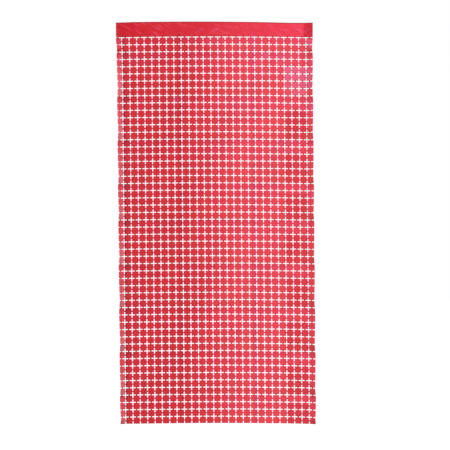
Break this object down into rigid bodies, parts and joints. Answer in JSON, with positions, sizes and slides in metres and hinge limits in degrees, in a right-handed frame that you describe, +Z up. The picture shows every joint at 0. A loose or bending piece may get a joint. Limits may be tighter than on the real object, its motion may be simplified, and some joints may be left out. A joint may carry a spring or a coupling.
{
  "type": "foil square curtain",
  "caption": "Hanging curtain of metallic red foil, die-cut into a net of small linked squares under a plain band, put up with a strip of tape.",
  "frame": {"origin": "middle of the back face of the tape on the band, where the curtain is stuck up", "axes": "+Z up, +X to the right seen from the front, +Y towards the wall or lintel that it is stuck to"},
  "size_m": [0.9965, 0.0154, 2.0085],
  "materials": {
    "red_foil": "metallised film, mirror-like with fine creases",
    "tape": "matt adhesive"
  },
  "bodies": {
    "header": {"header_band": "red_foil", "adhesive_tape": "tape"},
    "tier_01": {"tier_01": "red_foil"},
    "tier_02": {"tier_02": "red_foil"},
    "tier_03": {"tier_03": "red_foil"},
    "tier_04": {"tier_04": "red_foil"},
    "tier_05": {"tier_05": "red_foil"},
    "tier_06": {"tier_06": "red_foil"},
    "tier_07": {"tier_07": "red_foil"},
    "tier_08": {"tier_08": "red_foil"},
    "tier_09": {"tier_09": "red_foil"},
    "tier_10": {"tier_10": "red_foil"},
    "left_edge_01": {"left_edge_01": "red_foil"},
    "left_edge_02": {"left_edge_02": "red_foil"},
    "left_edge_03": {"left_edge_03": "red_foil"},
    "left_edge_04": {"left_edge_04": "red_foil"},
    "left_edge_05": {"left_edge_05": "red_foil"},
    "left_edge_06": {"left_edge_06": "red_foil"},
    "left_edge_07": {"left_edge_07": "red_foil"},
    "left_edge_08": {"left_edge_08": "red_foil"},
    "left_edge_09": {"left_edge_09": "red_foil"},
    "left_edge_10": {"left_edge_10": "red_foil"},
    "right_edge_01": {"right_edge_01": "red_foil"},
    "right_edge_02": {"right_edge_02": "red_foil"},
    "right_edge_03": {"right_edge_03": "red_foil"},
    "right_edge_04": {"right_edge_04": "red_foil"},
    "right_edge_05": {"right_edge_05": "red_foil"},
    "right_edge_06": {"right_edge_06": "red_foil"},
    "right_edge_07": {"right_edge_07": "red_foil"},
    "right_edge_08": {"right_edge_08": "red_foil"},
    "right_edge_09": {"right_edge_09": "red_foil"},
    "right_edge_10": {"right_edge_10": "red_foil"}
  },
  "joints": [
    {"name": "tier_01_fold", "type": "hinge", "parent": "header", "child": "tier_01", "pos_m": [0, -0.00038, -0.05412], "axis": [-1, 0, 0], "range_deg": [-25, 25]},
    {"name": "tier_02_fold", "type": "hinge", "parent": "tier_01", "child": "tier_02", "pos_m": [0, -0.00038, -0.12712], "axis": [-1, 0, 0], "range_deg": [-9, 9]},
    {"name": "tier_03_fold", "type": "hinge", "parent": "tier_02", "child": "tier_03", "pos_m": [0, -0.00038, -0.34613], "axis": [-1, 0, 0], "range_deg": [-9, 9]},
    {"name": "tier_04_fold", "type": "hinge", "parent": "tier_03", "child": "tier_04", "pos_m": [0, -0.00038, -0.56512], "axis": [-1, 0, 0], "range_deg": [-9, 9]},
    {"name": "tier_05_fold", "type": "hinge", "parent": "tier_04", "child": "tier_05", "pos_m": [0, -0.00038, -0.78412], "axis": [-1, 0, 0], "range_deg": [-9, 9]},
    {"name": "tier_06_fold", "type": "hinge", "parent": "tier_05", "child": "tier_06", "pos_m": [0, -0.00038, -0.96662], "axis": [-1, 0, 0], "range_deg": [-9, 9]},
    {"name": "tier_07_fold", "type": "hinge", "parent": "tier_06", "child": "tier_07", "pos_m": [0, -0.00038, -1.18562], "axis": [-1, 0, 0], "range_deg": [-9, 9]},
    {"name": "tier_08_fold", "type": "hinge", "parent": "tier_07", "child": "tier_08", "pos_m": [0, -0.00038, -1.40463], "axis": [-1, 0, 0], "range_deg": [-9, 9]},
    {"name": "tier_09_fold", "type": "hinge", "parent": "tier_08", "child": "tier_09", "pos_m": [0, -0.00038, -1.62363], "axis": [-1, 0, 0], "range_deg": [-9, 9]},
    {"name": "tier_10_fold", "type": "hinge", "parent": "tier_09", "child": "tier_10", "pos_m": [0, -0.00038, -1.84262], "axis": [-1, 0, 0], "range_deg": [-9, 9]},
    {"name": "left_edge_01_crease", "type": "hinge", "parent": "tier_01", "child": "left_edge_01", "pos_m": [-0.46001, -0.00038, -0.09275], "axis": [-0.0093, 0, 1], "range_deg": [-56, 34]},
    {"name": "left_edge_02_crease", "type": "hinge", "parent": "tier_02", "child": "left_edge_02", "pos_m": [-0.45865, -0.00038, -0.23875], "axis": [-0.0093, 0, 1], "range_deg": [-56, 34]},
    {"name": "left_edge_03_crease", "type": "hinge", "parent": "tier_03", "child": "left_edge_03", "pos_m": [-0.45661, -0.00038, -0.45775], "axis": [-0.0093, 0, 1], "range_deg": [-56, 34]},
    {"name": "left_edge_04_crease", "type": "hinge", "parent": "tier_04", "child": "left_edge_04", "pos_m": [-0.45457, -0.00038, -0.67675], "axis": [-0.0093, 0, 1], "range_deg": [-56, 34]},
    {"name": "left_edge_05_crease", "type": "hinge", "parent": "tier_05", "child": "left_edge_05", "pos_m": [-0.4527, -0.00038, -0.8775], "axis": [-0.0093, 0, 1], "range_deg": [-56, 34]},
    {"name": "left_edge_06_crease", "type": "hinge", "parent": "tier_06", "child": "left_edge_06", "pos_m": [-0.45083, -0.00038, -1.07825], "axis": [-0.0093, 0, 1], "range_deg": [-56, 34]},
    {"name": "left_edge_07_crease", "type": "hinge", "parent": "tier_07", "child": "left_edge_07", "pos_m": [-0.44879, -0.00038, -1.29725], "axis": [-0.0093, 0, 1], "range_deg": [-56, 34]},
    {"name": "left_edge_08_crease", "type": "hinge", "parent": "tier_08", "child": "left_edge_08", "pos_m": [-0.44675, -0.00038, -1.51625], "axis": [-0.0093, 0, 1], "range_deg": [-56, 34]},
    {"name": "left_edge_09_crease", "type": "hinge", "parent": "tier_09", "child": "left_edge_09", "pos_m": [-0.44471, -0.00038, -1.73525], "axis": [-0.0093, 0, 1], "range_deg": [-56, 34]},
    {"name": "left_edge_10_crease", "type": "hinge", "parent": "tier_10", "child": "left_edge_10", "pos_m": [-0.44301, -0.00038, -1.91775], "axis": [-0.0093, 0, 1], "range_deg": [-56, 34]},
    {"name": "right_edge_01_crease", "type": "hinge", "parent": "tier_01", "child": "right_edge_01", "pos_m": [0.45449, -0.00038, -0.09275], "axis": [0.0093, 0, -1], "range_deg": [-54, 21]},
    {"name": "right_edge_02_crease", "type": "hinge", "parent": "tier_02", "child": "right_edge_02", "pos_m": [0.45585, -0.00038, -0.23875], "axis": [0.0093, 0, -1], "range_deg": [-54, 21]},
    {"name": "right_edge_03_crease", "type": "hinge", "parent": "tier_03", "child": "right_edge_03", "pos_m": [0.45789, -0.00038, -0.45775], "axis": [0.0093, 0, -1], "range_deg": [-54, 21]},
    {"name": "right_edge_04_crease", "type": "hinge", "parent": "tier_04", "child": "right_edge_04", "pos_m": [0.45993, -0.00038, -0.67675], "axis": [0.0093, 0, -1], "range_deg": [-54, 21]},
    {"name": "right_edge_05_crease", "type": "hinge", "parent": "tier_05", "child": "right_edge_05", "pos_m": [0.4618, -0.00038, -0.8775], "axis": [0.0093, 0, -1], "range_deg": [-54, 21]},
    {"name": "right_edge_06_crease", "type": "hinge", "parent": "tier_06", "child": "right_edge_06", "pos_m": [0.46367, -0.00038, -1.07825], "axis": [0.0093, 0, -1], "range_deg": [-54, 21]},
    {"name": "right_edge_07_crease", "type": "hinge", "parent": "tier_07", "child": "right_edge_07", "pos_m": [0.46571, -0.00038, -1.29725], "axis": [0.0093, 0, -1], "range_deg": [-54, 21]},
    {"name": "right_edge_08_crease", "type": "hinge", "parent": "tier_08", "child": "right_edge_08", "pos_m": [0.46775, -0.00038, -1.51625], "axis": [0.0093, 0, -1], "range_deg": [-54, 21]},
    {"name": "right_edge_09_crease", "type": "hinge", "parent": "tier_09", "child": "right_edge_09", "pos_m": [0.46979, -0.00038, -1.73525], "axis": [0.0093, 0, -1], "range_deg": [-54, 21]},
    {"name": "right_edge_10_crease", "type": "hinge", "parent": "tier_10", "child": "right_edge_10", "pos_m": [0.47149, -0.00038, -1.91775], "axis": [0.0093, 0, -1], "range_deg": [-54, 21]}
  ],
  "couplings": [
    {"joint": "left_edge_02_crease", "follows": "left_edge_01_crease", "ratio": 1},
    {"joint": "left_edge_03_crease", "follows": "left_edge_01_crease", "ratio": 1},
    {"joint": "left_edge_04_crease", "follows": "left_edge_01_crease", "ratio": 1},
    {"joint": "left_edge_05_crease", "follows": "left_edge_01_crease", "ratio": 1},
    {"joint": "left_edge_06_crease", "follows": "left_edge_01_crease", "ratio": 1},
    {"joint": "left_edge_07_crease", "follows": "left_edge_01_crease", "ratio": 1},
    {"joint": "left_edge_08_crease", "follows": "left_edge_01_crease", "ratio": 1},
    {"joint": "left_edge_09_crease", "follows": "left_edge_01_crease", "ratio": 1},
    {"joint": "left_edge_10_crease", "follows": "left_edge_01_crease", "ratio": 1},
    {"joint": "right_edge_02_crease", "follows": "right_edge_01_crease", "ratio": 1},
    {"joint": "right_edge_03_crease", "follows": "right_edge_01_crease", "ratio": 1},
    {"joint": "right_edge_04_crease", "follows": "right_edge_01_crease", "ratio": 1},
    {"joint": "right_edge_05_crease", "follows": "right_edge_01_crease", "ratio": 1},
    {"joint": "right_edge_06_crease", "follows": "right_edge_01_crease", "ratio": 1},
    {"joint": "right_edge_07_crease", "follows": "right_edge_01_crease", "ratio": 1},
    {"joint": "right_edge_08_crease", "follows": "right_edge_01_crease", "ratio": 1},
    {"joint": "right_edge_09_crease", "follows": "right_edge_01_crease", "ratio": 1},
    {"joint": "right_edge_10_crease", "follows": "right_edge_01_crease", "ratio": 1}
  ]
}
